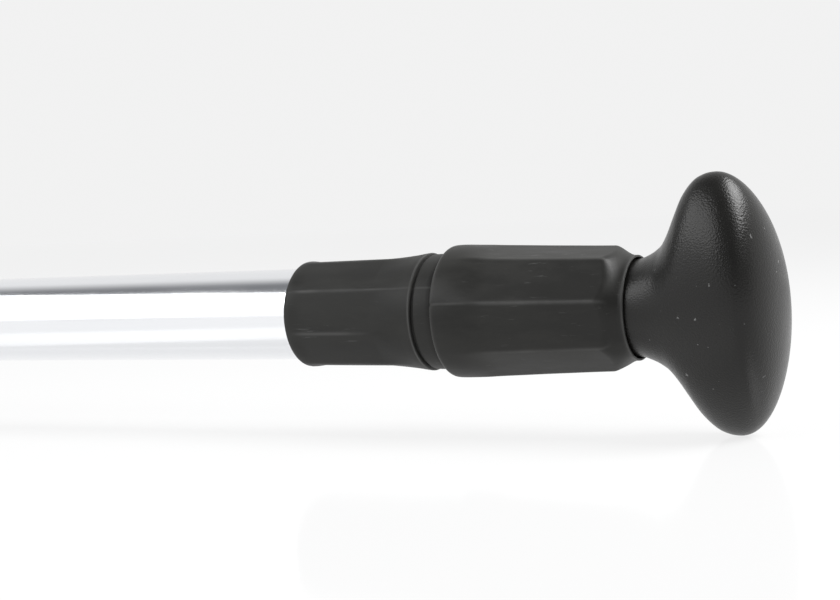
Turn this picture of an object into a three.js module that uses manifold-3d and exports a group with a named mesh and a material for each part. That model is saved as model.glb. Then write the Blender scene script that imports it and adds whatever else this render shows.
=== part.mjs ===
// Adjustable stand-up paddle: a three-piece round aluminium shaft with a palm grip, a twist lock
// for the length, a push-button joint in the middle and a moulded blade.
// Millimetres. +X runs along the shaft towards the grip, +Z is up, and the paddle lies on z = 0:
// it rests on the flat underside of the blade's tip and on the grip's lower lobe.
import * as THREE from 'three';
import { mergeVertices } from 'three/addons/utils/BufferGeometryUtils.js';
import Module from 'manifold-3d';

const wasm = await Module();
wasm.setup();

// ---------------------------------------------------------------- driving dimensions
const TOTAL_LENGTH = 1660;
const AXIS_HEIGHT = 39.2;
const ROUND = 48;
const GAP = 0.3;

const TUBE_R = 15;
const TUBE_BORE_R = 13.5;
const INNER_R = 13;
const INNER_BORE_R = 11.8;

// x stations of the shaft
const LOCK_X = 712.2;
const MAIN_X0 = 35;
const MAIN_X1 = LOCK_X + 22;
const INNER_X0 = 190;
const LOWER_X0 = -415;
const LOWER_X1 = 34.4;

// twist lock, measured from LOCK_X
const COLLAR_END = -41;
const RIM_END = 5.4;
const SHOULDER_END = 12.9;
const COLLAR_BORE_R = TUBE_R + GAP;
const TUBE_STOP = MAIN_X1 - LOCK_X + 0.4;
const GROOVE_R = 17.3;
const SHOULDER_R = 18.2;
const SPIGOT_R = 17.2;
const SPIGOT_END = 44;
const CONE_START = 30;
const CONE_R0 = 13.8;
const CONE_R1 = 16;
const NUT_START = 13.2;
const NUT_END = 73.8;
const NUT_BORE_R = 17.5;
const NUT_SHOULDER = 49;
const NUT_INNER_R = 13.6;
const NUT_MOUTH = 69.6;
const NUT_MOUTH_R = 15.1;
const COLLET_BORE_R = 13.25;
const COLLET_NOSE = 33;
const COLLET_FLANGE_R = 16.9;
const COLLET_SLOTS = 4;
const SLOT_WIDTH = 1.6;
const NUT_PHASE = 9.5;
const COLLAR_PHASE = 27.5;

// grip, measured from LOCK_X
const GRIP_START = 72;
const GRIP_BORE_R = INNER_R + GAP;
const GRIP_BORE_END = 102;
const GRIP_ROLL = 14;
const NECK_R = 14.5;
const LOBE_X = 101;
const LOBE_R = 40.2;
const LOBE_FRONT = 16.8;
const PALM_HALF_THICKNESS = 21.5;
const LOBE_THINNING = 0.3;
const CROWN_FLAT = 7;
const SWELL_START = 72;
const SWELL_END = 108;

// push-button joint
const INSERT_R = 13.2;
const INSERT_BORE_R = 11.8;
const INSERT_X0 = -30;
const INSERT_X1 = 125;
const BUTTON_X = 60;
const BUTTON_R = 3.6;
const BUTTON_HOLE_R = 3.9;
const SLEEVE_X0 = MAIN_X0 + 0.2;
const SLEEVE_X1 = 79;
const SLEEVE_R = 17.4;
const RING_X0 = 12;
const RING_X1 = 34.4;
const FERRULE_LIP = 0.8;
const FOOT_BASE = 9.2;
const FOOT_R = 4.6;
const SPRING_WIDTH = 8;

// blade
const BLADE_X0 = -TOTAL_LENGTH / 2;
const BLADE_X1 = -330;
const BLADE_HALF_WIDTH = 92.5;
const SOCKET_R = 18.2;
const TIP_WEB = 1.6;
const ROOT_WEB = 2.4;
const EDGE_START = 0.86;
const SPINE_HALF_WIDTH = 15;
const RIVET_R = 2;
const BLADE_RIVET_X = -352;
const INSERT_RIVET_X = -8;

// ---------------------------------------------------------------- geometry helpers

// Drops normals and uvs, welds the vertices and removes triangles that have collapsed.
function weld(geometry) {
  const source = geometry.index ? geometry : geometry.clone();
  source.deleteAttribute('normal');
  source.deleteAttribute('uv');
  const merged = mergeVertices(source, 1e-4);
  const index = merged.index.array;
  const kept = [];
  for (let i = 0; i < index.length; i += 3) {
    const [a, b, c] = [index[i], index[i + 1], index[i + 2]];
    if (a !== b && b !== c && c !== a) kept.push(a, b, c);
  }
  merged.setIndex(kept);
  return merged;
}

function toSolid(geometry) {
  const welded = weld(geometry);
  return new wasm.Manifold(new wasm.Mesh({
    numProp: 3,
    vertProperties: new Float32Array(welded.attributes.position.array),
    triVerts: new Uint32Array(welded.index.array),
  }));
}

function toGeometry(solid) {
  const mesh = solid.getMesh();
  const geometry = new THREE.BufferGeometry();
  geometry.setAttribute('position', new THREE.BufferAttribute(mesh.vertProperties.slice(), 3));
  geometry.setIndex(new THREE.BufferAttribute(mesh.triVerts.slice(), 1));
  return geometry;
}

// A body of revolution about the shaft, from [x, r] corners that run up the outside first.
function turned(corners, segments = ROUND) {
  const points = corners.map(([x, r]) => new THREE.Vector2(r, x));
  const geometry = new THREE.LatheGeometry(points, segments);
  geometry.rotateZ(-Math.PI / 2);
  return weld(geometry);
}

function ring(x0, x1, inner, outer) {
  return turned([[x0, inner], [x0, outer], [x1, outer], [x1, inner], [x0, inner]]);
}

function rod(x0, x1, radius, segments = ROUND) {
  return turned([[x0, 0], [x0, radius], [x1, radius], [x1, 0]], segments);
}

// A body lofted along the shaft: a cylinder whose rings are moved to section(x, angle).
function lofted(stations, section, segments = ROUND) {
  const geometry = new THREE.CylinderGeometry(1, 1, 1, segments, stations.length - 1);
  const position = geometry.attributes.position;
  for (let i = 0; i < position.count; i += 1) {
    const row = Math.round((position.getY(i) + 0.5) * (stations.length - 1));
    const radius = Math.hypot(position.getX(i), position.getZ(i));
    const angle = Math.atan2(position.getX(i), position.getZ(i));
    const x = stations[row];
    const [y, z] = section(x, angle);
    const [yc, zc] = section(x, null);
    position.setXYZ(i, x, yc + (y - yc) * radius, zc + (z - zc) * radius);
  }
  return weld(geometry);
}

// A smooth curve through a table of [x, value] rows.
function smoothTable(rows) {
  return (x) => {
    if (x <= rows[0][0]) return rows[0][1];
    for (let i = 0; i + 1 < rows.length; i += 1) {
      const [x0, v0] = rows[i];
      const [x1, v1] = rows[i + 1];
      if (x > x1) continue;
      const before = rows[Math.max(i - 1, 0)];
      const after = rows[Math.min(i + 2, rows.length - 1)];
      const m0 = (v1 - before[1]) / (x1 - before[0]) * (x1 - x0);
      const m1 = (after[1] - v0) / (after[0] - x0) * (x1 - x0);
      const u = (x - x0) / (x1 - x0);
      const h = u * u * (3 - 2 * u);
      const value = v0 + (v1 - v0) * h + m0 * (u - 2 * u * u + u ** 3) + m1 * (u ** 3 - u * u);
      return Math.min(Math.max(value, Math.min(v0, v1)), Math.max(v0, v1));
    }
    return rows[rows.length - 1][1];
  };
}

function steps(from, to, count) {
  return Array.from({ length: count + 1 }, (_, i) => from + (to - from) * i / count);
}

function ease(value, from, to) {
  const u = Math.min(Math.max((value - from) / (to - from), 0), 1);
  return u * u * (3 - 2 * u);
}

// Radius of an eight-sided section with slightly rounded ridges. The ridges lie at phase + 45 k
// degrees above the -Y side; roundness 1 gives a circle.
function ridgedRadius(angle, ridge, roundness, phaseDegrees) {
  const phase = THREE.MathUtils.degToRad(180 - phaseDegrees);
  const eighth = Math.PI / 4;
  const fromRidge = ((angle - phase) % eighth + eighth) % eighth;
  const fromFlat = fromRidge - eighth / 2;
  const apothem = ridge * 1.006 * Math.cos(eighth / 2);
  const octagon = Math.min(apothem / Math.cos(fromFlat), ridge);
  return octagon + (ridge - octagon) * roundness;
}

// A hole or pin drawn along +X is turned to point along +Z, +Y or -Y at x on the shaft.
function radial(geometry, x, direction) {
  if (direction === 'z') geometry.rotateY(-Math.PI / 2);
  if (direction === 'y') geometry.rotateZ(Math.PI / 2);
  if (direction === '-y') geometry.rotateZ(-Math.PI / 2);
  geometry.translate(x, 0, 0);
  return geometry;
}

function material(color, roughness, metalness) {
  return new THREE.MeshStandardMaterial({ color, roughness, metalness });
}

function piece(name, geometry, look) {
  const mesh = new THREE.Mesh(geometry, look.clone());
  mesh.name = name;
  return mesh;
}

const ALUMINIUM = material(0xc9cbce, 0.2, 1);
const STEEL = material(0xb4b6ba, 0.3, 1);
const GRIP_BLACK = material(0x191a1b, 0.42, 0);
const NUT_BLACK = material(0x2b2c2e, 0.55, 0);
const COLLAR_BLACK = material(0x2d2e30, 0.6, 0);
const NATURAL_NYLON = material(0xd8d6cc, 0.5, 0);
const FITTING_BLACK = material(0x1e1f21, 0.5, 0);
const BLADE_BLACK = material(0x1b1c1e, 0.45, 0);
const FOAM = material(0x3a3a3c, 0.9, 0);

// ---------------------------------------------------------------- palm grip

// Half width across the lobes: the neck flares back into the lobes along one smooth curve, and
// the palm side of the lobes is a quarter ellipse.
const GRIP_FLANK = smoothTable([
  [72, NECK_R], [75.2, 14.8], [78.5, 16.1], [81, 17.6], [83.5, 19.9], [86, 24], [88.5, 29.2],
  [91, 34], [94.5, 38], [97.8, 39.7], [LOBE_X, LOBE_R], [104.2, 39.7],
]);

function gripHalfWidth(t) {
  if (t < LOBE_X) return GRIP_FLANK(t);
  return LOBE_R * Math.sqrt(Math.max(0, 1 - ((t - LOBE_X) / LOBE_FRONT) ** 2));
}

function gripHalfThickness(t) {
  const swell = ease(t, SWELL_START, SWELL_END);
  const crown = Math.max(0, (t - LOBE_X - CROWN_FLAT) / (LOBE_FRONT - CROWN_FLAT));
  const thickness = NECK_R + (PALM_HALF_THICKNESS - NECK_R) * swell;
  return thickness * Math.sqrt(Math.max(0, 1 - crown ** 2));
}

// An oval that starts round at the neck and thins towards the lobes' tips.
function gripSection(t, angle) {
  if (angle === null) return [0, 0];
  const z = gripHalfWidth(t) * Math.sin(angle);
  const thinned = 1 - LOBE_THINNING * Math.abs(z / LOBE_R) ** 2.4;
  return [gripHalfThickness(t) * thinned * Math.cos(angle), z];
}

function palmGrip() {
  const neck = [GRIP_START, 75, 77, 79, 80.6];
  const back = steps(82, LOBE_X, 12);
  const front = steps(0.12, 0.97, 9).map((u) => LOBE_X + LOBE_FRONT * Math.sin(u * Math.PI / 2));
  const stations = [...neck, ...back, ...front, LOBE_X + LOBE_FRONT - 0.004];
  const outside = toSolid(lofted(stations, gripSection));
  const bore = toSolid(rod(GRIP_START - 2, GRIP_BORE_END, GRIP_BORE_R));
  const geometry = toGeometry(outside.subtract(bore));
  geometry.rotateX(THREE.MathUtils.degToRad(GRIP_ROLL));
  return geometry;
}

// ---------------------------------------------------------------- twist lock

const COLLAR_RIDGE = smoothTable([
  [COLLAR_END, 16.3], [-40.6, 16.9], [-39.6, 17.4], [-37, 17.85], [-9, 18.1], [-3, 18.1],
  [1, 18.25], [4, 18.6], [RIM_END, 18.7],
]);
const NUT_RIDGE = smoothTable([
  [NUT_START, 19.8], [13.5, 20.4], [14.2, 20.75], [16.5, 20.9], [24, 20.8], [28.7, 20.55],
  [36.8, 20.2], [44.8, 19.85], [52.6, 19.55], [60.4, 19.25], [67, 19.05],
]);

function collarSection(t, angle) {
  if (angle === null) return [0, 0];
  const roundness = Math.max(1 - 0.8 * ease(t, COLLAR_END, -35), ease(t, -14, 4));
  const r = ridgedRadius(angle, COLLAR_RIDGE(t), roundness, COLLAR_PHASE);
  return [r * Math.cos(angle), r * Math.sin(angle)];
}

// Bonded to the main tube: ribbed sleeve, rim, shoulder ring and the spigot that carries the
// nut's thread on the outside and the collet's cone on the inside.
function lockCollar() {
  const stations = [
    COLLAR_END, -40.6, -39.8, -38.4, -36.5, -34, -24, -14, -10, -6, -3, 0, 2.5, 4.4, RIM_END,
  ];
  const sleeve = toSolid(lofted(stations, collarSection, 64));
  const shoulder = toSolid(turned([
    [4, 0], [4, GROOVE_R], [RIM_END + 1, GROOVE_R], [RIM_END + 1.3, SHOULDER_R - 0.1],
    [SHOULDER_END - 0.4, SHOULDER_R], [SHOULDER_END, SHOULDER_R - 0.4], [SHOULDER_END, 0],
  ]));
  const spigot = toSolid(rod(10, SPIGOT_END, SPIGOT_R));
  const hollow = toSolid(turned([
    [COLLAR_END - 2, 0], [COLLAR_END - 2, COLLAR_BORE_R], [TUBE_STOP, COLLAR_BORE_R],
    [TUBE_STOP, CONE_R0], [CONE_START, CONE_R0], [SPIGOT_END, CONE_R1], [SPIGOT_END + 2, CONE_R1],
    [SPIGOT_END + 2, 0],
  ]));
  return toGeometry(sleeve.add(shoulder).add(spigot).subtract(hollow));
}

// Concave run-out that cuts the ridges down to the nut's thin rim.
function nutScoop(t) {
  return 15.85 + 3.2 * Math.max(0, (72.6 - t) / 5.6) ** 1.5;
}

function nutSection(t, angle) {
  if (angle === null) return [0, 0];
  const body = ridgedRadius(angle, NUT_RIDGE(t), 1 - ease(t, 17, 31), NUT_PHASE);
  const r = t > 60 ? Math.min(body, nutScoop(t)) : body;
  return [r * Math.cos(angle), r * Math.sin(angle)];
}

function clampNut() {
  const stations = [
    NUT_START, 13.5, 14.2, 15.2, 16.8, 19, 21.5, 24, 26.5, 30, 38, 48, 58, 67, 67.7, 68.5,
    69.3, 70.1, 71, 72, NUT_END,
  ];
  const outside = toSolid(lofted(stations, nutSection, 64));
  const hollow = toSolid(turned([
    [10, 0], [10, NUT_BORE_R], [NUT_SHOULDER, NUT_BORE_R], [NUT_SHOULDER, NUT_INNER_R],
    [NUT_MOUTH, NUT_INNER_R], [NUT_MOUTH, NUT_MOUTH_R], [NUT_END + 2, NUT_MOUTH_R],
    [NUT_END + 2, 0],
  ]));
  return toGeometry(outside.subtract(hollow));
}

// Nylon cone with a flange; four slots let its fingers close on the inner tube.
function splitCollet() {
  const slope = (CONE_R1 - CONE_R0) / (SPIGOT_END - CONE_START);
  const noseRadius = CONE_R0 + slope * (COLLET_NOSE - CONE_START) - GAP;
  const rootRadius = CONE_R1 - GAP - slope * 0.4;
  const flangeStart = SPIGOT_END + 0.5;
  const flangeEnd = NUT_SHOULDER - GAP;
  const body = toSolid(turned([
    [COLLET_NOSE, COLLET_BORE_R], [COLLET_NOSE, noseRadius], [SPIGOT_END - 0.4, rootRadius],
    [flangeStart, rootRadius], [flangeStart, COLLET_FLANGE_R], [flangeEnd, COLLET_FLANGE_R],
    [flangeEnd, COLLET_BORE_R], [COLLET_NOSE, COLLET_BORE_R],
  ]));
  let cut = body;
  for (let i = 0; i < COLLET_SLOTS; i += 1) {
    const slot = new THREE.BoxGeometry(14, 12, SLOT_WIDTH);
    slot.translate(COLLET_NOSE + 6, COLLET_BORE_R + 3, 0);
    slot.rotateX(i * 2 * Math.PI / COLLET_SLOTS + Math.PI / 4);
    cut = cut.subtract(toSolid(slot));
  }
  return toGeometry(cut);
}

// ---------------------------------------------------------------- tubes and joint

function drilled(geometry, holes) {
  let solid = toSolid(geometry);
  for (const { x, direction, radius } of holes) {
    const hole = radial(rod(6, 30, radius, 24), x, direction);
    solid = solid.subtract(toSolid(hole));
  }
  return toGeometry(solid);
}

const BUTTON_HOLE = { x: BUTTON_X, direction: 'z', radius: BUTTON_HOLE_R };
const INSERT_RIVET_HOLES = [
  { x: INSERT_RIVET_X, direction: 'y', radius: RIVET_R + GAP },
  { x: INSERT_RIVET_X, direction: '-y', radius: RIVET_R + GAP },
];
const BLADE_RIVET_HOLES = [
  { x: BLADE_RIVET_X, direction: 'y', radius: RIVET_R + GAP },
  { x: BLADE_RIVET_X, direction: '-y', radius: RIVET_R + GAP },
];

function jointSleeve() {
  const body = turned([
    [SLEEVE_X0, COLLAR_BORE_R], [SLEEVE_X0, SLEEVE_R - FERRULE_LIP],
    [SLEEVE_X0 + FERRULE_LIP, SLEEVE_R], [SLEEVE_X1 - 3, SLEEVE_R], [SLEEVE_X1, 16.2],
    [SLEEVE_X1, COLLAR_BORE_R], [SLEEVE_X0, COLLAR_BORE_R],
  ]);
  return drilled(body, [BUTTON_HOLE]);
}

function jointRing() {
  return turned([
    [RING_X0, COLLAR_BORE_R], [RING_X0, 16.2], [RING_X0 + 2.5, SLEEVE_R],
    [RING_X1 - FERRULE_LIP, SLEEVE_R], [RING_X1, SLEEVE_R - FERRULE_LIP],
    [RING_X1, COLLAR_BORE_R], [RING_X0, COLLAR_BORE_R],
  ]);
}

// Domed pin with a foot that stops it against the inside of the insert.
function snapButton() {
  const shank = FOOT_BASE + 1.1;
  const geometry = turned([
    [FOOT_BASE, 0], [FOOT_BASE, FOOT_R], [shank, FOOT_R], [shank, BUTTON_R], [18.2, BUTTON_R],
    [19.3, 3], [19.9, 1.8], [20.1, 0],
  ], 24);
  return radial(geometry, BUTTON_X, 'z');
}

// Leaf spring folded in a V: one leg under the button's foot, the other on the insert's wall.
function snapSpring() {
  const half = 0.35;
  const top = 8.5;
  const bottom = -10.2;
  const fold = BUTTON_X - 34;
  const shape = new THREE.Shape();
  shape.moveTo(BUTTON_X + 6, top + half);
  shape.lineTo(BUTTON_X - 6, top + half);
  shape.lineTo(fold + 2, 1.6);
  shape.quadraticCurveTo(fold - 2.2, -0.8, fold + 2, -3.4);
  shape.lineTo(BUTTON_X - 8, bottom - half);
  shape.lineTo(BUTTON_X + 4, bottom - half);
  shape.lineTo(BUTTON_X + 4, bottom + half);
  shape.lineTo(BUTTON_X - 7.8, bottom + half);
  shape.lineTo(fold + 3, -2.5);
  shape.quadraticCurveTo(fold + 0.2, -0.8, fold + 3, 0.9);
  shape.lineTo(BUTTON_X - 5.6, top - half);
  shape.lineTo(BUTTON_X + 6, top - half);
  shape.closePath();
  const geometry = new THREE.ExtrudeGeometry(shape, {
    depth: SPRING_WIDTH, bevelEnabled: false, curveSegments: 6,
  });
  geometry.rotateX(Math.PI / 2);
  geometry.translate(0, SPRING_WIDTH / 2, 0);
  return weld(geometry);
}

// Blind rivet: domed head outside, shank through both walls, upset tail inside.
function rivet(x, direction, outer, inner) {
  const head = outer + GAP;
  const tail = inner - GAP;
  const geometry = turned([
    [tail - 2.4, 0], [tail - 2.4, 1.9], [tail - 1.2, 2.9], [tail, 2.6], [tail, RIVET_R],
    [head, RIVET_R], [head, 3.9], [head + 0.7, 3.3], [head + 1.2, 2], [head + 1.4, 0],
  ], 24);
  return radial(geometry, x, direction);
}

// Flanged bush: its spigot plugs into the sliding tube and its flange runs in the main tube.
function guideBush() {
  const start = INNER_X0 - 14;
  const step = INNER_X0 - GAP;
  const end = INNER_X0 + 24;
  const spigot = INNER_BORE_R - GAP;
  const flange = TUBE_BORE_R - 0.2;
  return turned([
    [start, 9.5], [start, flange - 0.9], [start + 1.2, flange], [step, flange], [step, spigot],
    [end, spigot], [end, 9.5], [start, 9.5],
  ]);
}

// ---------------------------------------------------------------- blade

// Half width of the blade, then the height of its underside above the ground.
const BLADE_WIDTH = smoothTable([
  [BLADE_X0, 34], [-828.6, 44], [-825.5, 54], [-820, 64.5], [-812, 73], [-800, 80.5], [-785, 86],
  [-762, 90.5], [-735, BLADE_HALF_WIDTH], [-705, 92.2], [-670, 89.4], [-630, 83.4],
  [-590, 74.6], [-550, 63], [-515, 51], [-485, 39.5], [-460, 30], [-440, 23.6], [-424, 20],
  [-412, SOCKET_R],
]);
const BLADE_DROP = smoothTable([
  [BLADE_X0, 0], [-786, 0], [-740, 1.4], [-690, 4.8], [-630, 10.6], [-570, 17.6], [-510, 25],
  [-460, 31], [-425, 34.6], [-400, 36.4], [BLADE_X1, 36.6],
]);

// A thin web with a softened edge and a central spine that grows into the round socket.
function bladeSection(x, angle) {
  const web = TIP_WEB + (ROOT_WEB - TIP_WEB) * ease(x, -760, -480);
  const middle = BLADE_DROP(x) - AXIS_HEIGHT + web;
  const blend = ease(x, -470, -402);
  if (angle === null) return [0, middle * (1 - blend)];
  const c = Math.cos(angle);
  const s = Math.sin(angle);
  const y = BLADE_WIDTH(x) * Math.sign(c) * Math.abs(c) ** 0.75;
  const across = Math.abs(y) / BLADE_WIDTH(x);
  const edge = Math.max(0, (across - EDGE_START) / (1 - EDGE_START));
  const half = web * (1 - 0.78 * edge * edge);
  const spine = (SOCKET_R - web) * Math.exp(-((y / SPINE_HALF_WIDTH) ** 2));
  const side = Math.sign(s) * Math.min(1, Math.abs(s) * 3.2);
  const z = middle + (half + spine * ease(x, -700, -415) ** 1.5) * side;
  return [y + (SOCKET_R * c - y) * blend, z + (SOCKET_R * s - z) * blend];
}

function bladeBody() {
  const tip = [0, 0.6, 1.6, 3.2, 5.6, 9, 13.4, 19, 26, 35, 44].map((d) => BLADE_X0 + d);
  const web = steps(-772, -480, 20);
  const neck = [-468, -456, -444, -432, -420, -408, -398, -360, -336, -331.4, BLADE_X1];
  const body = lofted([...tip, ...web, ...neck], (x, angle) => {
    const [y, z] = bladeSection(x, angle);
    const mouth = 1 - 0.05 * ease(x, -334, -330);
    return [y * mouth, z * mouth];
  }, 56);
  const bore = toSolid(rod(LOWER_X0 - 1, BLADE_X1 + 4, COLLAR_BORE_R));
  return drilled(toGeometry(toSolid(body).subtract(bore)), BLADE_RIVET_HOLES);
}

// ---------------------------------------------------------------- assembly

const paddle = new THREE.Group();
paddle.position.set(0, 0, AXIS_HEIGHT);

paddle.add(piece('main_tube', drilled(
  ring(MAIN_X0 + GAP, MAIN_X1, TUBE_BORE_R, TUBE_R), [BUTTON_HOLE]), ALUMINIUM));
paddle.add(piece('lower_tube', drilled(
  ring(LOWER_X0, LOWER_X1, TUBE_BORE_R, TUBE_R),
  [...INSERT_RIVET_HOLES, ...BLADE_RIVET_HOLES]), ALUMINIUM));
paddle.add(piece('inner_tube', ring(
  INNER_X0, LOCK_X + GRIP_BORE_END - GAP - 0.2, INNER_BORE_R, INNER_R), ALUMINIUM));
paddle.add(piece('coupling_insert', drilled(
  ring(INSERT_X0, INSERT_X1, INSERT_BORE_R, INSERT_R),
  [BUTTON_HOLE, ...INSERT_RIVET_HOLES]), ALUMINIUM));
paddle.add(piece('joint_sleeve', jointSleeve(), FITTING_BLACK));
paddle.add(piece('joint_ring', jointRing(), FITTING_BLACK));
paddle.add(piece('snap_button', snapButton(), STEEL));
paddle.add(piece('snap_spring', snapSpring(), STEEL));
paddle.add(piece('guide_bush', guideBush(), NATURAL_NYLON));
paddle.add(piece('inner_tube_plug', rod(224, 262, INNER_BORE_R - GAP), FOAM));
paddle.add(piece('lower_tube_plug', rod(-84, -46, TUBE_BORE_R - GAP), FOAM));
paddle.add(piece('blade', bladeBody(), BLADE_BLACK));
paddle.add(piece('coupling_rivet_1',
  rivet(INSERT_RIVET_X, 'y', TUBE_R, INSERT_BORE_R), ALUMINIUM));
paddle.add(piece('coupling_rivet_2',
  rivet(INSERT_RIVET_X, '-y', TUBE_R, INSERT_BORE_R), ALUMINIUM));
paddle.add(piece('blade_rivet_1',
  rivet(BLADE_RIVET_X, 'y', SOCKET_R, TUBE_BORE_R), ALUMINIUM));
paddle.add(piece('blade_rivet_2',
  rivet(BLADE_RIVET_X, '-y', SOCKET_R, TUBE_BORE_R), ALUMINIUM));

const lock = new THREE.Group();
lock.position.set(LOCK_X, 0, 0);
lock.add(piece('lock_collar', lockCollar(), COLLAR_BLACK));
lock.add(piece('clamp_nut', clampNut(), NUT_BLACK));
lock.add(piece('split_collet', splitCollet(), NATURAL_NYLON));
lock.add(piece('palm_grip', palmGrip(), GRIP_BLACK));
paddle.add(lock);

export default paddle;
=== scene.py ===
"""Adjustable stand-up paddle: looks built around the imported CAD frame. Metres, +X towards the grip.

The pieces that show are fine meshes made here from a few profiles, in the place their CAD nodes
have: turned pieces share one ring-by-ring mesher, and the grip and blade are lofted the same way.
The bush, collet, insert and plugs inside stay the CAD's own meshes and get materials only.
"""
import math

import bmesh
import bpy
from mathutils import Matrix, Vector


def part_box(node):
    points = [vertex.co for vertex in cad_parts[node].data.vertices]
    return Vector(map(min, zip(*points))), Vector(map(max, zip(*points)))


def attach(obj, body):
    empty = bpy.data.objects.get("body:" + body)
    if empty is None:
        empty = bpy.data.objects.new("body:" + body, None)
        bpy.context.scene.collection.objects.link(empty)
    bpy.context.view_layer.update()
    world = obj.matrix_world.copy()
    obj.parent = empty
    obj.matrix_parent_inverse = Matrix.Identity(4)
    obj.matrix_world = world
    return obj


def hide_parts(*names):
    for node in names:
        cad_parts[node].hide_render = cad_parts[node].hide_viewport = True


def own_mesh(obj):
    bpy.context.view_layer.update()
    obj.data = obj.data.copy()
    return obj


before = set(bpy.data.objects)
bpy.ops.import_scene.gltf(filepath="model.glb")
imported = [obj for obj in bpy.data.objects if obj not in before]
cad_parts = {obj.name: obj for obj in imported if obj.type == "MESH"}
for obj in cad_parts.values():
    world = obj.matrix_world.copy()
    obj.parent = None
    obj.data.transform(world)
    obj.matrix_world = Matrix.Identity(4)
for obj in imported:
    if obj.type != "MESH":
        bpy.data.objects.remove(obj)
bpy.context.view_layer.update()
MM = 0.001

# ------------------------------------------------------------------ places taken from the frame


def low(node):
    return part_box(node)[0]


def high(node):
    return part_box(node)[1]


# Lengths along the shaft are millimetres from LOCK_X, the collar's shoulder.
COLLAR_START = -41.0
AXIS_Z = (low("main_tube")[2] + high("main_tube")[2]) / 2
LOCK_X = low("lock_collar")[0] - COLLAR_START * MM

# How far nut, collar and grip are turned about the shaft, in degrees.
NUT_PHASE = 9.5
COLLAR_PHASE = 27.5
GRIP_ROLL = 14.0

# Radii in millimetres that several pieces share.
SHAFT_R = 15
SHAFT_BORE = 13.5
SLIDING_R = 13
SLIDING_BORE = 11.8
FITTING_BORE = 15.3

# ------------------------------------------------------------------ small helpers


def ease(value, start, end):
    u = min(max((value - start) / (end - start), 0.0), 1.0)
    return u * u * (3 - 2 * u)


def spread(start, end, count):
    return [start + (end - start) * i / count for i in range(count + 1)]


def curve_through(rows):
    """A smooth function through [x, value] rows that never overshoots them."""
    def read(x):
        if x <= rows[0][0]:
            return rows[0][1]
        for i in range(len(rows) - 1):
            (x0, v0), (x1, v1) = rows[i], rows[i + 1]
            if x > x1:
                continue
            before, after = rows[max(i - 1, 0)], rows[min(i + 2, len(rows) - 1)]
            m0 = (v1 - before[1]) / (x1 - before[0]) * (x1 - x0)
            m1 = (after[1] - v0) / (after[0] - x0) * (x1 - x0)
            u = (x - x0) / (x1 - x0)
            value = (v0 + (v1 - v0) * u * u * (3 - 2 * u) + m0 * (u - 2 * u * u + u**3)
                     + m1 * (u**3 - u * u))
            return min(max(value, min(v0, v1)), max(v0, v1))
        return rows[-1][1]
    return read


def finish_mesh(name, verts, faces, material, body, replaced=(), sharp=40.0, wear=None):
    mesh = bpy.data.meshes.new(name)
    mesh.from_pydata(verts, [], faces)
    mesh.validate()
    bm = bmesh.new()
    bm.from_mesh(mesh)
    bmesh.ops.remove_doubles(bm, verts=bm.verts, dist=1e-7)
    bmesh.ops.recalc_face_normals(bm, faces=bm.faces)
    bm.to_mesh(mesh)
    bm.free()
    mesh.polygons.foreach_set("use_smooth", [True] * len(mesh.polygons))
    mesh.set_sharp_from_angle(angle=math.radians(sharp))
    if wear:
        layer = mesh.attributes.new("wear", "FLOAT", "POINT")
        layer.data.foreach_set("value", [wear(v.co) for v in mesh.vertices])
    piece = bpy.data.objects.new(name, mesh)
    bpy.context.scene.collection.objects.link(piece)
    mesh.materials.append(material)
    if replaced:
        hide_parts(*replaced)
    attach(piece, body)
    return piece


def ring_mesh(rings, closed, caps):
    """Vertices and faces of a skin over rings of equal length."""
    count = len(rings[0])
    verts = [v for ring in rings for v in ring]
    faces = []
    pairs = list(range(len(rings) - 1)) + ([len(rings) - 1] if closed else [])
    for i in pairs:
        a, b = i * count, ((i + 1) % len(rings)) * count
        for k in range(count):
            n = (k + 1) % count
            faces.append((a + k, a + n, b + n, b + k))
    if caps:
        faces.append(tuple(range(count)))
        faces.append(tuple(reversed(range(len(verts) - count, len(verts)))))
    return verts, faces


def turned(profile, x=0.0, segments=96, shape=None):
    """Revolves a closed outline of (x, r) points in millimetres about the shaft, outside first.
    Where r is None, shape(x, angle) gives the radius."""
    rings = []
    for px, r in profile:
        ring = []
        for k in range(segments):
            angle = 2 * math.pi * k / segments
            rr = (shape(px, angle) if r is None else r) * MM
            ring.append((x + px * MM, rr * math.cos(angle), AXIS_Z + rr * math.sin(angle)))
        rings.append(ring)
    return ring_mesh(rings, True, False)


def turned_about(profile, place, direction, segments=48):
    """Revolves an open outline of (height, r) points in millimetres about a line from place
    along direction."""
    turn = Vector((0, 0, 1)).rotation_difference(Vector(direction)).to_matrix()
    rings = []
    for height, r in profile:
        angles = [2 * math.pi * k / segments for k in range(segments)]
        local = [Vector((r * math.cos(a), r * math.sin(a), height)) * MM for a in angles]
        rings.append([tuple(Vector(place) + turn @ v) for v in local])
    return ring_mesh(rings, False, True)


def cut_hole(piece, place, direction, radius, depth):
    """Drills piece with a round cutter that starts at place, and applies the cut to its mesh."""
    profile = [(0, radius), (depth, radius)]
    verts, faces = turned_about(profile, place, direction, 64)
    mesh = bpy.data.meshes.new("cutter")
    mesh.from_pydata(verts, [], faces)
    bm = bmesh.new()
    bm.from_mesh(mesh)
    bmesh.ops.recalc_face_normals(bm, faces=bm.faces)
    bm.to_mesh(mesh)
    bm.free()
    cutter = bpy.data.objects.new("cutter", mesh)
    bpy.context.scene.collection.objects.link(cutter)
    boolean = piece.modifiers.new("hole", "BOOLEAN")
    boolean.operation = "DIFFERENCE"
    boolean.solver = "EXACT"
    boolean.object = cutter
    bpy.context.view_layer.update()
    evaluated = piece.evaluated_get(bpy.context.evaluated_depsgraph_get())
    cut = bpy.data.meshes.new_from_object(evaluated)
    piece.modifiers.remove(boolean)
    piece.data = cut
    bpy.data.objects.remove(cutter)


# ------------------------------------------------------------------ materials


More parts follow.
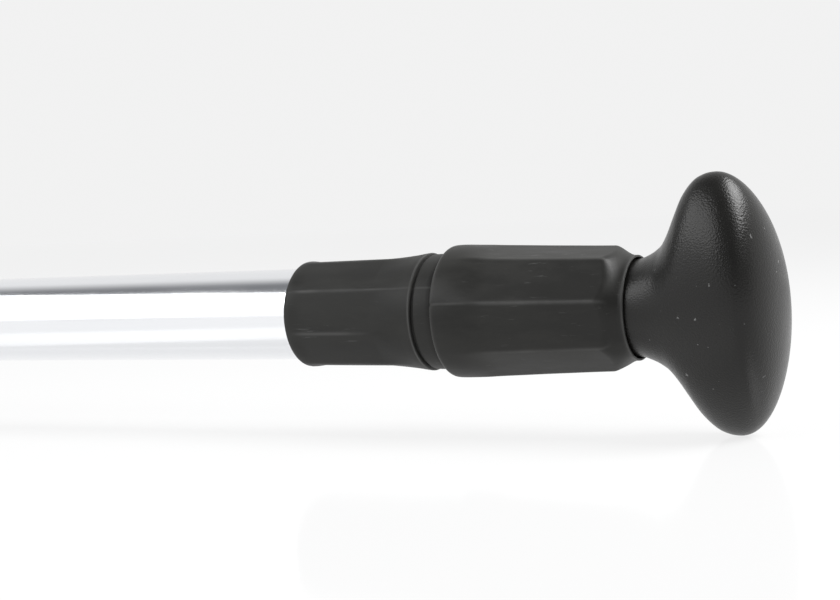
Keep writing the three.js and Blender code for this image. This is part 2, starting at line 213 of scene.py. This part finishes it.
def shader(name, color, roughness, metallic=0.0, specular=0.5):
    material = bpy.data.materials.new(name)
    material.use_nodes = True
    nodes = material.node_tree.nodes
    bsdf = nodes["Principled BSDF"]
    bsdf.inputs["Base Color"].default_value = (*color, 1)
    bsdf.inputs["Roughness"].default_value = roughness
    bsdf.inputs["Metallic"].default_value = metallic
    bsdf.inputs["Specular IOR Level"].default_value = specular
    return material, nodes, material.node_tree.links, bsdf


def scaled_position(nodes, links, scale):
    where = nodes.new("ShaderNodeTexCoord")
    mapping = nodes.new("ShaderNodeMapping")
    mapping.inputs["Scale"].default_value = scale
    links.new(where.outputs["Object"], mapping.inputs["Vector"])
    return mapping.outputs["Vector"]


def noise(nodes, links, vector, scale, detail=3.0, roughness=0.55):
    node = nodes.new("ShaderNodeTexNoise")
    node.inputs["Scale"].default_value = scale
    node.inputs["Detail"].default_value = detail
    node.inputs["Roughness"].default_value = roughness
    links.new(vector, node.inputs["Vector"])
    return node.outputs["Fac"]


def remap(nodes, links, value, low_in, high_in, low_out, high_out):
    node = nodes.new("ShaderNodeMapRange")
    limits = {"From Min": low_in, "From Max": high_in, "To Min": low_out, "To Max": high_out}
    for key, number in limits.items():
        node.inputs[key].default_value = number
    links.new(value, node.inputs["Value"])
    return node.outputs["Result"]


def maths(nodes, links, operation, a, b):
    node = nodes.new("ShaderNodeMath")
    node.operation = operation
    for socket, value in zip(node.inputs, (a, b)):
        if isinstance(value, (int, float)):
            socket.default_value = value
        else:
            links.new(value, socket)
    return node.outputs["Value"]


def mix_color(nodes, links, factor, a, b):
    node = nodes.new("ShaderNodeMix")
    node.data_type = "RGBA"
    if isinstance(factor, (int, float)):
        node.inputs["Factor"].default_value = factor
    else:
        links.new(factor, node.inputs["Factor"])
    for socket, value in ((node.inputs[6], a), (node.inputs[7], b)):
        if isinstance(value, tuple):
            socket.default_value = (*value, 1)
        else:
            links.new(value, socket)
    return node.outputs[2]


def bump(nodes, links, height, strength, distance, below=None):
    node = nodes.new("ShaderNodeBump")
    node.inputs["Strength"].default_value = strength
    node.inputs["Distance"].default_value = distance
    links.new(height, node.inputs["Height"])
    if below is not None:
        links.new(below, node.inputs["Normal"])
    return node.outputs["Normal"]


def aluminium():
    """Bright drawn tube: long faint draw lines, sparse handling scratches and soft smudges."""
    material, nodes, links, bsdf = shader("polished aluminium", (0.86, 0.87, 0.89), 0.16, 1.0)
    draw = noise(nodes, links, scaled_position(nodes, links, (6, 900, 900)), 1.0, 4.0)
    scratch = noise(nodes, links, scaled_position(nodes, links, (60, 900, 1500)), 1.0, 8.0, 0.7)
    smudge = noise(nodes, links, scaled_position(nodes, links, (18, 60, 60)), 1.0, 3.0)
    fine = remap(nodes, links, scratch, 0.62, 0.72, 0.0, 1.0)
    rough = remap(nodes, links, smudge, 0.35, 0.7, 0.13, 0.2)
    scratched = maths(nodes, links, "MULTIPLY", fine, 0.12)
    links.new(maths(nodes, links, "ADD", rough, scratched), bsdf.inputs["Roughness"])
    normal = bump(nodes, links, draw, 0.12, 0.00004)
    links.new(bump(nodes, links, fine, 0.15, 0.00003, normal), bsdf.inputs["Normal"])
    return material


def plain_metal(name, color, roughness):
    material, nodes, links, bsdf = shader(name, color, roughness, 1.0)
    grain = noise(nodes, links, scaled_position(nodes, links, (700, 700, 700)), 1.0, 4.0)
    rough = remap(nodes, links, grain, 0.3, 0.7, roughness - 0.06, roughness + 0.08)
    links.new(rough, bsdf.inputs["Roughness"])
    links.new(bump(nodes, links, grain, 0.1, 0.00004), bsdf.inputs["Normal"])
    return material


def moulded(name, color, worn, roughness, grain_scale, grain_depth, specular=0.5):
    """Moulded plastic: fine spark-eroded grain, soft mottling, scuffs, and paler worn edges."""
    material, nodes, links, bsdf = shader(name, color, roughness, 0.0, specular)
    place = scaled_position(nodes, links, (1, 1, 1))
    grain = noise(nodes, links, place, grain_scale, 4.0, 0.6)
    cloud = noise(nodes, links, place, 70.0, 4.0)
    scuff = noise(nodes, links, scaled_position(nodes, links, (120, 500, 900)), 1.0, 8.0, 0.72)
    wear = nodes.new("ShaderNodeAttribute")
    wear.attribute_name = "wear"
    edge = maths(nodes, links, "MULTIPLY", wear.outputs["Fac"],
                 remap(nodes, links, cloud, 0.3, 0.65, 0.35, 1.0))
    marks = maths(nodes, links, "MULTIPLY", remap(nodes, links, scuff, 0.6, 0.72, 0.0, 0.6),
                  remap(nodes, links, cloud, 0.45, 0.65, 0.0, 1.0))
    smear = noise(nodes, links, scaled_position(nodes, links, (25, 80, 80)), 1.0, 5.0, 0.62)
    mottled = mix_color(nodes, links, remap(nodes, links, smear, 0.42, 0.7, 0.0, 1.0), color,
                        tuple(c * 1.9 for c in color))
    blend = maths(nodes, links, "MAXIMUM", edge, marks)
    links.new(mix_color(nodes, links, blend, mottled, worn), bsdf.inputs["Base Color"])
    rough = remap(nodes, links, smear, 0.3, 0.7, roughness - 0.09, roughness + 0.12)
    links.new(rough, bsdf.inputs["Roughness"])
    links.new(bump(nodes, links, grain, 0.5, grain_depth), bsdf.inputs["Normal"])
    return material


def pebbled(name, color, roughness):
    """Grip plastic: leather-like pebbles under a soft sheen, with a little dust."""
    material, nodes, links, bsdf = shader(name, color, roughness, 0.0, 0.32)
    place = scaled_position(nodes, links, (1, 1, 1))
    cells = nodes.new("ShaderNodeTexVoronoi")
    cells.feature = "SMOOTH_F1"
    cells.inputs["Scale"].default_value = 1900.0
    cells.inputs["Smoothness"].default_value = 0.6
    links.new(place, cells.inputs["Vector"])
    micro = noise(nodes, links, place, 3000.0, 3.0)
    cloud = noise(nodes, links, place, 60.0, 4.0)
    dust = noise(nodes, links, place, 420.0, 3.0, 0.6)
    specks = remap(nodes, links, dust, 0.7, 0.74, 0.0, 0.6)
    links.new(mix_color(nodes, links, specks, color, (0.22, 0.22, 0.22)), bsdf.inputs["Base Color"])
    rough = remap(nodes, links, cloud, 0.3, 0.7, roughness - 0.04, roughness + 0.05)
    links.new(rough, bsdf.inputs["Roughness"])
    fine = maths(nodes, links, "MULTIPLY", micro, 0.25)
    height = maths(nodes, links, "ADD", cells.outputs["Distance"], fine)
    links.new(bump(nodes, links, height, 0.5, 0.00012), bsdf.inputs["Normal"])
    return material


METAL = aluminium()
PLAIN_METAL = plain_metal("plain aluminium", (0.72, 0.73, 0.74), 0.34)
STEEL = plain_metal("stainless steel", (0.6, 0.6, 0.62), 0.24)
NUT = moulded("nut plastic", (0.0125, 0.0123, 0.0112), (0.1, 0.1, 0.097),
              0.46, 2200.0, 0.00003, 0.26)
COLLAR = moulded("collar plastic", (0.0125, 0.0124, 0.0114), (0.09, 0.09, 0.088),
                 0.52, 2200.0, 0.00003, 0.28)
FITTING = moulded("fitting plastic", (0.018, 0.018, 0.02), (0.08, 0.08, 0.08),
                  0.5, 2000.0, 0.00003)
BLADE = moulded("blade plastic", (0.015, 0.0155, 0.017), (0.07, 0.07, 0.07), 0.48, 1500.0, 0.00004)
NYLON = moulded("natural nylon", (0.68, 0.66, 0.58), (0.75, 0.74, 0.68), 0.5, 1800.0, 0.00002)
GRIP = pebbled("grip plastic", (0.0075, 0.0072, 0.0064), 0.31)
FOAM = moulded("closed-cell foam", (0.05, 0.05, 0.055), (0.08, 0.08, 0.08), 0.9, 900.0, 0.0002)
INK = moulded("printed ink", (0.02, 0.02, 0.022), (0.1, 0.1, 0.1), 0.55, 2000.0, 0.00001)

# ------------------------------------------------------------------ tubes


def tube(name, node, outer, inner, body, material, segments=128):
    x0, x1 = low(node)[0] / MM, high(node)[0] / MM
    lip = 0.25
    profile = [(x0, inner + lip), (x0, outer - lip), (x0 + lip, outer)]
    profile += [(x, outer) for x in spread(x0 + 5, x1 - 5, 24)]
    profile += [(x1 - lip, outer), (x1, outer - lip), (x1, inner + lip), (x1 - lip, inner)]
    profile += [(x0 + lip, inner)]
    verts, faces = turned(profile, segments=segments)
    return finish_mesh(name, verts, faces, material, body, (node,))


tube("main_shaft_tube", "main_tube", SHAFT_R, SHAFT_BORE, "shaft", METAL)
tube("lower_shaft_tube", "lower_tube", SHAFT_R, SHAFT_BORE, "shaft", METAL)
tube("sliding_tube", "inner_tube", SLIDING_R, SLIDING_BORE, "handle", METAL)

# ------------------------------------------------------------------ eight-sided lock pieces


def octagon(angle, ridge, phase, sharpness):
    """Radius of an octagon with softened ridges, which lie at phase + 45 k degrees above -Y."""
    eighth = math.pi / 4
    offset = (angle - math.radians(180 - phase)) % eighth - eighth / 2
    apothem = ridge * math.cos(eighth / 2) * 2 ** (1 / sharpness)
    total = 0.0
    for k in (-1, 0, 1):
        c = math.cos(offset + k * eighth)
        total += (c / apothem) ** sharpness
    return total ** (-1 / sharpness)


def ridge_nearness(angle, phase):
    eighth = math.pi / 4
    offset = (angle - math.radians(180 - phase)) % eighth
    return min(offset, eighth - offset)


def parting_offset(angle, phase):
    """Angle in radians from the near-side ridge that the mould's parting line runs along."""
    return (angle - math.radians(180 - phase) + math.pi) % (2 * math.pi) - math.pi


NUT_START = 13.2
NUT_END = 73.8
NUT_SCOOP_R = 15.85
NUT_RIDGE = curve_through([
    (13.2, 20.0), (13.35, 20.25), (13.7, 20.55), (14.4, 20.8), (16.5, 20.9), (24, 20.8),
    (28.7, 20.55), (36.8, 20.2), (44.8, 19.85), (52.6, 19.55), (60.4, 19.25), (67, 19.05)])


def soft_min(a, b, width):
    h = max(width - abs(a - b), 0.0) / width
    return min(a, b) - h * h * width / 4


def nut_radius(t, angle):
    ridge = NUT_RIDGE(t)
    faceted = octagon(angle, ridge, NUT_PHASE, 90)
    body = faceted + (ridge - faceted) * (1 - ease(t, 17, 31))
    across = parting_offset(angle, NUT_PHASE)
    body -= 0.5 * math.exp(-(((t - NUT_START) / 0.9) ** 2) - (across / 0.03) ** 2)
    body += 0.05 * math.exp(-((across / 0.012) ** 2)) * ease(t, 14.5, 16) * (1 - ease(t, 24, 32))
    scoop = NUT_SCOOP_R + 3.2 * max(0.0, (72.6 - t) / 5.6) ** 1.5
    return max(soft_min(body, scoop, 1.1), NUT_SCOOP_R) if t > 60 else body


def clamp_nut():
    outside = [NUT_START, 13.28, 13.4, 13.55, 13.75, 14, 14.4, 15, 16, 17.5]
    outside += spread(19, 64, 46) + spread(64.6, 73.3, 44) + [73.55]
    profile = [(t, None) for t in outside] + [(73.75, 15.75), (NUT_END, 15.6)]
    profile += [(NUT_END, 15.3), (73.65, 15.15), (69.6, 15.1), (69.6, 13.6), (49, 13.6), (49, 17.5)]
    profile += [(NUT_START + 0.2, 17.5), (NUT_START, 17.7)]
    return turned(profile, LOCK_X, 360, nut_radius)


def nut_wear(co):
    t = (co.x - LOCK_X) / MM
    angle = math.atan2(co.z - AXIS_Z, co.y)
    near = math.exp(-((ridge_nearness(angle, NUT_PHASE) / 0.028) ** 2)) * ease(t, 22, 34)
    near *= 1 - ease(t, 66, 70)
    rim = math.exp(-(((t - NUT_END + 0.2) / 0.4) ** 2))
    corner = 0.5 * math.exp(-(((t - NUT_START - 0.5) / 0.5) ** 2))
    line = 0.5 * math.exp(-((parting_offset(angle, NUT_PHASE) / 0.012) ** 2))
    line *= 1 - ease(t, 22, 34)
    return max(0.5 * near, 0.6 * rim, 0.7 * corner, line)


verts, faces = clamp_nut()
finish_mesh("twist_nut", verts, faces, NUT, "nut", ("clamp_nut",), 35, nut_wear)

COLLAR_RIDGE = curve_through([
    (COLLAR_START, 16.35), (-40.85, 16.7), (-40.5, 17.05), (-39.8, 17.4), (-38.5, 17.7),
    (-36.5, 17.87), (-9, 18.1), (-3, 18.1), (1, 18.25), (4, 18.6), (5.2, 18.75)])


def collar_radius(t, angle):
    ridge = COLLAR_RIDGE(t)
    roundness = max(1 - 0.8 * ease(t, COLLAR_START, -35), ease(t, -14, 4))
    faceted = octagon(angle, ridge, COLLAR_PHASE, 70)
    return faceted + (ridge - faceted) * roundness


def lock_collar():
    sleeve = [COLLAR_START, -40.92, -40.8, -40.6, -40.3, -39.9, -39.3, -38.5, -37.5, -36.5]
    sleeve += spread(-35, -15, 16) + spread(-14, 4.6, 40) + [5.0]
    profile = [(COLLAR_START, 15.5)] + [(t, None) for t in sleeve]
    profile += [(5.3, 18.6), (5.45, 18.3), (5.5, 17.4), (6.4, 17.35), (6.5, 18.0), (6.75, 18.22)]
    profile += [(8, 18.26), (10.5, 18.28), (12.4, 18.2), (12.8, 18.0), (12.9, 17.7), (12.9, 17.2)]
    profile += [(44, 17.2), (44, 16.0), (30, 13.8), (22.4, 13.8), (22.4, FITTING_BORE)]
    profile += [(-40.8, FITTING_BORE)]
    return turned(profile, LOCK_X, 360, collar_radius)


def collar_wear(co):
    t = (co.x - LOCK_X) / MM
    angle = math.atan2(co.z - AXIS_Z, co.y)
    near = 0.6 * math.exp(-((ridge_nearness(angle, COLLAR_PHASE) / 0.03) ** 2)) * ease(t, -39, -33)
    near *= 1 - ease(t, -22, -6)
    rim = math.exp(-(((t - 5.1) / 0.25) ** 2))
    line = 0.5 * math.exp(-((parting_offset(angle, COLLAR_PHASE) / 0.013) ** 2)) * ease(t, -39, -33)
    return max(near, rim, line)


verts, faces = lock_collar()
finish_mesh("ribbed_collar", verts, faces, COLLAR, "shaft", ("lock_collar",),
            35, collar_wear)

# ------------------------------------------------------------------ palm grip

NECK_R = 14.5
LOBE_T = 101.0
LOBE_R = 40.14
LOBE_FRONT = 16.8
PALM_HALF = 21.5
THINNING = 0.3
CROWN_FLAT = 7.0
GRIP_BORE = 13.3
GRIP_BORE_END = 101.5
SWELL_START = 72.0
SWELL_END = 108.0
GRIP_FLANK = curve_through([
    (72, 14.5), (75.2, 14.8), (78.5, 16.1), (81, 17.6), (83.5, 19.9), (86, 24), (88.5, 29.2),
    (91, 34), (94.5, 38), (97.8, 39.7), (LOBE_T, LOBE_R), (104.2, 39.7)])


def grip_width(t):
    if t < LOBE_T:
        return GRIP_FLANK(t)
    return LOBE_R * math.sqrt(max(0.0, 1 - ((t - LOBE_T) / LOBE_FRONT) ** 2))


def grip_thickness(t):
    crown = max(0.0, (t - LOBE_T - CROWN_FLAT) / (LOBE_FRONT - CROWN_FLAT))
    swollen = NECK_R + (PALM_HALF - NECK_R) * ease(t, SWELL_START, SWELL_END)
    return swollen * math.sqrt(max(0.0, 1 - crown**2))


def grip_ring(t, count):
    roll = math.radians(GRIP_ROLL)
    ring = []
    for k in range(count):
        angle = 2 * math.pi * k / count
        u = grip_width(t) * math.sin(angle)
        v = grip_thickness(t) * (1 - THINNING * abs(u / LOBE_R) ** 2.4) * math.cos(angle)
        y = v * math.cos(roll) - u * math.sin(roll)
        z = u * math.cos(roll) + v * math.sin(roll)
        ring.append((LOCK_X + t * MM, y * MM, AXIS_Z + z * MM))
    return ring


def palm_grip():
    count = 220
    stations = spread(72.4, 82, 30) + spread(82.2, LOBE_T, 76)[:-1]
    stations += [LOBE_T + LOBE_FRONT * math.sin(u * math.pi / 2) for u in spread(0, 0.985, 60)]
    socket = []
    angles = [2 * math.pi * k / count for k in range(count)]
    for t, r in ((GRIP_BORE_END, GRIP_BORE), (72.3, GRIP_BORE), (72.0, 13.6), (72.0, 14.2)):
        socket.append([(LOCK_X + t * MM, r * MM * math.cos(a), AXIS_Z + r * MM * math.sin(a))
                       for a in angles])
    return ring_mesh(socket + [grip_ring(t, count) for t in stations], False, True)


verts, faces = palm_grip()
finish_mesh("moulded_palm_grip", verts, faces, GRIP, "handle", ("palm_grip",), 50)

# ------------------------------------------------------------------ push-button joint

BUTTON_X = (low("snap_button")[0] + high("snap_button")[0]) / 2
BUTTON_HOLE = 3.9
BUTTON_R = 3.55
BUTTON_DOME = 9.0
FERRULE_R = 17.4
LEAF_HALF = 0.34


def ferrule(name, node, outline):
    """A moulded ring on the tube. The outline is (distance from its low end, radius)."""
    verts, faces = turned(outline, low(node)[0], 192)
    return finish_mesh(name, verts, faces, FITTING, "shaft", (node,), 35)


def grooved(start, end, count, radius, depth):
    """Outline of a band with round-bottomed grooves."""
    points = []
    for k in range(count * 8 + 1):
        u = k / 8
        swing = 0.5 - 0.5 * math.cos(2 * math.pi * u)
        points.append((start + (end - start) * u / count, radius - depth * swing**2))
    return points


SLEEVE_OUTLINE = [(0, 15.5), (0, 16.6), (0.25, 17.0), (0.7, 17.3), (1.2, FERRULE_R)]
SLEEVE_OUTLINE += grooved(4, 14, 4, FERRULE_R, 0.7)
SLEEVE_OUTLINE += [(16, FERRULE_R), (40.0, FERRULE_R), (41.4, 17.2), (43.2, 16.5), (43.8, 15.9)]
SLEEVE_OUTLINE += [(43.8, 15.35), (43.5, FITTING_BORE), (0.2, FITTING_BORE)]
RING_OUTLINE = [(0, 15.35), (0, 15.9), (0.6, 16.5), (1.6, 17.0), (2.6, FERRULE_R)]
RING_OUTLINE += grooved(6, 18, 5, FERRULE_R, 0.7)
RING_OUTLINE += [(21.0, FERRULE_R), (21.8, 17.2), (22.2, 16.9), (22.4, 16.5), (22.4, 15.5)]
RING_OUTLINE += [(22.2, FITTING_BORE), (0.2, FITTING_BORE)]

sleeve = ferrule("button_sleeve", "joint_sleeve", SLEEVE_OUTLINE)
ferrule("lower_tube_ring", "joint_ring", RING_OUTLINE)
for drilled in (sleeve, bpy.data.objects["main_shaft_tube"]):
    cut_hole(drilled, (BUTTON_X, 0, AXIS_Z), (0, 0, 1), BUTTON_HOLE, 25)

foot = low("snap_button")[2] - AXIS_Z
dome = [(0, 0.2), (0, 4.3), (0.3, 4.6), (0.8, 4.6), (1.1, 4.3), (1.1, 3.6), (8.4, 3.6)]
dome += [(BUTTON_DOME, BUTTON_R)]
dome += [(BUTTON_DOME + 1.9 * math.sin(math.radians(d)), BUTTON_R * math.cos(math.radians(d)))
         for d in spread(8, 87, 12)]
verts, faces = turned_about(dome, (BUTTON_X, 0, AXIS_Z + foot), (0, 0, 1), 64)
finish_mesh("domed_button", verts, faces, STEEL, "button", ("snap_button",))


def leaf_spring():
    """A steel strip folded in a V: the upper leg carries the button, the lower lies on the
    insert."""
    fold = [(-31.2 + 2.45 * math.cos(a), -0.8 + 2.45 * math.sin(a)) for a in
            (math.radians(d) for d in spread(70, 290, 18))]
    path = [(6, 8.5), (0, 8.5), (-5.2, 8.5), (-6.2, 8.35), (-7.2, 8.05), (-18, 4.8)] + fold
    path += [(-18, -6.9), (-9.4, -9.6), (-8.2, -10.0), (-7, -10.2), (-2, -10.2), (4, -10.2)]
    outer, inner = [], []
    for i, (x, z) in enumerate(path):
        before, after = path[max(i - 1, 0)], path[min(i + 1, len(path) - 1)]
        along = Vector((after[0] - before[0], after[1] - before[1])).normalized()
        outer.append((x + along.y * LEAF_HALF, z - along.x * LEAF_HALF))
        inner.append((x - along.y * LEAF_HALF, z + along.x * LEAF_HALF))
    outline = outer + list(reversed(inner))
    rings = [[(BUTTON_X + x * MM, y * MM, AXIS_Z + z * MM) for x, z in outline]
             for y in (-4, -3.8, 3.8, 4)]
    return ring_mesh(rings, False, True)


verts, faces = leaf_spring()
spring = finish_mesh("folded_leaf_spring", verts, faces, STEEL, "shaft",
                     ("snap_spring",))
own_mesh(spring)


def rivet(name, node, side):
    """Blind rivet seen from outside: a domed head with the mandrel's pit in its middle."""
    inner = min(abs(low(node)[1]), abs(high(node)[1])) / MM
    outer = max(abs(low(node)[1]), abs(high(node)[1])) / MM
    place = ((low(node)[0] + high(node)[0]) / 2, side * inner * MM, AXIS_Z)
    top = outer - inner
    outline = [(0, 0.2), (0, 1.9), (1.2, 2.8), (2.4, 2.6), (2.4, 2.0), (top - 1.4, 2.0)]
    outline += [(top - 1.4, 3.7), (top - 1.2, 3.9), (top - 0.8, 3.6), (top - 0.4, 2.9)]
    outline += [(top - 0.15, 2.0), (top - 0.1, 1.3), (top - 0.15, 1.0), (top - 0.8, 0.9), (top - 0.8, 0.1)]
    verts, faces = turned_about(outline, place, (0, side, 0))
    finish_mesh(name, verts, faces, PLAIN_METAL, "shaft", (node,))


rivet("insert_rivet_far", "coupling_rivet_1", 1)
rivet("insert_rivet_near", "coupling_rivet_2", -1)
rivet("socket_rivet_far", "blade_rivet_1", 1)
rivet("socket_rivet_near", "blade_rivet_2", -1)

# ------------------------------------------------------------------ length marks

MARK_R = 13.04
MARK_COUNT = 42


def length_marks():
    """Printed ticks on the sliding tube, every 10 mm and longer every 50 mm, that come into view
    as the handle is drawn out."""
    verts, faces = [], []
    radius = MARK_R * MM
    for k in range(MARK_COUNT):
        x = LOCK_X + (20 - 10 * k) * MM
        half = math.radians(26 if k % 5 == 0 else 12)
        for j in range(13):
            angle = math.radians(118) - half + 2 * half * j / 12
            for shift in (-0.35, 0.35):
                verts.append((x + shift * MM, radius * math.cos(angle),
                              AXIS_Z + radius * math.sin(angle)))
        base = len(verts) - 26
        faces += [(base + 2 * j, base + 2 * j + 1, base + 2 * j + 3, base + 2 * j + 2)
                  for j in range(12)]
    finish_mesh("printed_length_marks", verts, faces, INK, "handle")


length_marks()

# ------------------------------------------------------------------ blade

BLADE_TIP = -830
SOCKET_MOUTH = -330
SOCKET_STOP = -414
SOCKET_R = 18.2
TIP_WEB = 1.6
ROOT_WEB_EXTRA = 0.8
EDGE_START = 0.86
SPINE_HALF_WIDTH = 15
BLADE_WIDTH = curve_through([
    (-830, 34), (-828.6, 44), (-825.5, 54), (-820, 64.5), (-812, 73), (-800, 80.5), (-785, 86),
    (-762, 90.5), (-735, 92.5), (-705, 92.2), (-670, 89.4), (-630, 83.4), (-590, 74.6), (-550, 63),
    (-515, 51), (-485, 39.5), (-460, 30), (-440, 23.6), (-424, 20), (-412, 18.2)])
BLADE_DROP = curve_through([
    (-830, 0), (-786, 0), (-740, 1.4), (-690, 4.8), (-630, 10.6), (-570, 17.6), (-510, 25),
    (-460, 31), (-425, 34.6), (-400, 36.4), (-330, 36.6)])
RIBS = (0.3, 0.52, 0.74)


def rib_height(x, across):
    """Three low stiffening ribs on each side of the spine that fade out at both ends."""
    along = ease(x, -790, -745) * (1 - ease(x, -560, -500))
    return 0.75 * along * sum(math.exp(-(((across - rib) / 0.022) ** 2)) for rib in RIBS)


def blade_point(x, angle):
    width = BLADE_WIDTH(x)
    web = TIP_WEB + ROOT_WEB_EXTRA * ease(x, -760, -480)
    floor = BLADE_DROP(x) - AXIS_Z / MM
    blend = ease(x, -470, -402)
    c, s = math.cos(angle), math.sin(angle)
    y = width * math.copysign(abs(c) ** 0.75, c)
    across = abs(y) / width
    edge = max(0.0, (across - EDGE_START) / (1 - EDGE_START))
    half = web * (1 - 0.78 * edge * edge)
    spine = (SOCKET_R - web) * math.exp(-((y / SPINE_HALF_WIDTH) ** 2)) * ease(x, -700, -415) ** 1.5
    steep = math.copysign(min(1.0, abs(s) * 3.2), s)
    # No ribs under the tip, which lies flat on the table.
    rib = rib_height(x, across) * steep if s > 0 or x > -745 else 0.0
    z = floor + web + (half + spine) * steep + rib
    y += (SOCKET_R * c - y) * blend
    z += (SOCKET_R * s - z) * blend
    mouth = 1 - 0.05 * ease(x, -334, -330)
    return (x * MM, y * mouth * MM, AXIS_Z + z * mouth * MM)


def blade():
    count = 420
    angles = [2 * math.pi * (k + 0.5) / count for k in range(count)]
    stations = [BLADE_TIP + 44 * (1 - math.cos(u * math.pi / 2)) for u in spread(0, 1, 26)]
    stations += spread(-783, -402, 150) + spread(-398, -336, 10)
    stations += [-334, -333, -332, -331.2, -330.5, SOCKET_MOUTH]
    rings = [[blade_point(x, angle) for angle in angles] for x in stations]
    bore = FITTING_BORE * MM
    for x in (SOCKET_MOUTH, SOCKET_STOP):
        rings.append([(x * MM, bore * math.cos(a), AXIS_Z + bore * math.sin(a)) for a in angles])
    return ring_mesh(rings, False, True)


def blade_wear(co):
    x, y = co.x / MM, abs(co.y) / MM
    rim = math.exp(-(((BLADE_WIDTH(x) - y) / 2.0) ** 2)) * (1 - ease(x, -520, -450))
    tip = math.exp(-(((x - BLADE_TIP) / 5) ** 2))
    return min(1.0, 0.5 * rim + 0.8 * tip + 0.25 * ease(x, -640, -820))


verts, faces = blade()
finish_mesh("moulded_blade", verts, faces, BLADE, "shaft", ("blade",),
            50, blade_wear)

# ------------------------------------------------------------------ CAD nodes that stay

INSIDE = {"guide_bush": NYLON, "split_collet": NYLON, "coupling_insert": PLAIN_METAL,
          "inner_tube_plug": FOAM, "lower_tube_plug": FOAM}
for node, material in INSIDE.items():
    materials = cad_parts[node].data.materials
    materials.clear()
    materials.append(material)

# ------------------------------------------------------------------ stage, light and camera


TABLE_GLOW = 0.825
TABLE_GLOSS = 0.06
DIM_SIDE = (0.19, 0.195, 0.205, 1)
BRIGHT_SIDE = (0.885, 0.885, 0.885, 1)


def studio():
    """White translucent shooting table: it glows a little, scatters light and mirrors faintly."""
    material, nodes, links, bsdf = shader("white gloss table", (0.12, 0.12, 0.12), 0.5, 0.0, 0.0)
    bsdf.inputs["Emission Color"].default_value = (1.0, 1.0, 1.0, 1)
    bsdf.inputs["Emission Strength"].default_value = TABLE_GLOW
    gloss = nodes.new("ShaderNodeBsdfGlossy")
    gloss.inputs["Color"].default_value = (1, 1, 1, 1)
    gloss.inputs["Roughness"].default_value = 0.09
    blend = nodes.new("ShaderNodeMixShader")
    blend.inputs["Fac"].default_value = TABLE_GLOSS
    links.new(bsdf.outputs["BSDF"], blend.inputs[1])
    links.new(gloss.outputs["BSDF"], blend.inputs[2])
    links.new(blend.outputs["Shader"], nodes["Material Output"].inputs["Surface"])
    mesh = bpy.data.meshes.new("table_top")
    size = 40.0
    corners = [(-size, -size, 0), (size, -size, 0), (size, size, 0), (-size, size, 0)]
    mesh.from_pydata(corners, [], [(0, 1, 2, 3)])
    floor = bpy.data.objects.new("table_top", mesh)
    bpy.context.scene.collection.objects.link(floor)
    mesh.materials.append(material)


def light_tent():
    """A white backdrop that wraps over from behind, and a dim room on the near side."""
    world = bpy.data.worlds.new("light tent")
    bpy.context.scene.world = world
    world.use_nodes = True
    nodes, links = world.node_tree.nodes, world.node_tree.links
    direction = nodes.new("ShaderNodeTexCoord")
    split = nodes.new("ShaderNodeSeparateXYZ")
    links.new(direction.outputs["Generated"], split.inputs["Vector"])
    shade = nodes.new("ShaderNodeValToRGB")
    shade.color_ramp.interpolation = "EASE"
    shade.color_ramp.elements[0].position = 0.0
    shade.color_ramp.elements[0].color = DIM_SIDE
    shade.color_ramp.elements[1].position = 1.0
    shade.color_ramp.elements[1].color = BRIGHT_SIDE
    links.new(remap(nodes, links, split.outputs["Y"], -0.15, 0.35, 0.0, 1.0), shade.inputs["Fac"])
    links.new(shade.outputs["Color"], nodes["Background"].inputs["Color"])
    nodes["Background"].inputs["Strength"].default_value = 1.0


def softbox(name, azimuth, elevation, distance, size, power):
    """A rectangular light aimed at the lock, which no camera sees. Azimuth 0 is the near side and
    90 is beyond the grip."""
    data = bpy.data.lights.new(name, "AREA")
    data.shape = "RECTANGLE"
    data.size, data.size_y = size
    data.energy = power
    turn, rise = math.radians(azimuth), math.radians(elevation)
    across, back = math.cos(rise) * math.sin(turn), -math.cos(rise) * math.cos(turn)
    away = Vector((across, back, math.sin(rise)))
    lamp = bpy.data.objects.new(name, data)
    lamp.location = Vector((LOCK_X, 0, AXIS_Z)) + away * distance
    lamp.rotation_euler = away.to_track_quat("Z", "Y").to_euler()
    lamp.visible_camera = False
    bpy.context.scene.collection.objects.link(lamp)


CAMERA_AZIMUTH = 26.97
CAMERA_DOWN = 2.70
CAMERA_ROLL = -2.68
CAMERA_FROM_LOCK = Vector((0.2319, -0.4554, 0.0279))


def camera():
    data = bpy.data.cameras.new("camera")
    data.lens = 68.57
    data.sensor_width = 36
    data.clip_start = 0.01
    view = bpy.data.objects.new("camera", data)
    turn = Matrix.Rotation(math.radians(CAMERA_AZIMUTH), 4, "Z")
    tilt = Matrix.Rotation(math.radians(90 - CAMERA_DOWN), 4, "X")
    roll = Matrix.Rotation(math.radians(CAMERA_ROLL), 4, "Z")
    place = Vector((LOCK_X, 0, AXIS_Z)) + CAMERA_FROM_LOCK
    view.matrix_world = Matrix.Translation(place) @ turn @ tilt @ roll
    bpy.context.scene.collection.objects.link(view)
    bpy.context.scene.camera = view


studio()
light_tent()
softbox("left_softbox", -45, 34, 1.6, (1.6, 0.68), 13)
softbox("left_fill", -45, 11, 1.6, (1.6, 0.62), 3.5)
softbox("right_softbox", 98, 50, 1.2, (0.8, 0.6), 19)
camera()
bpy.context.scene.view_settings.view_transform = "Standard"
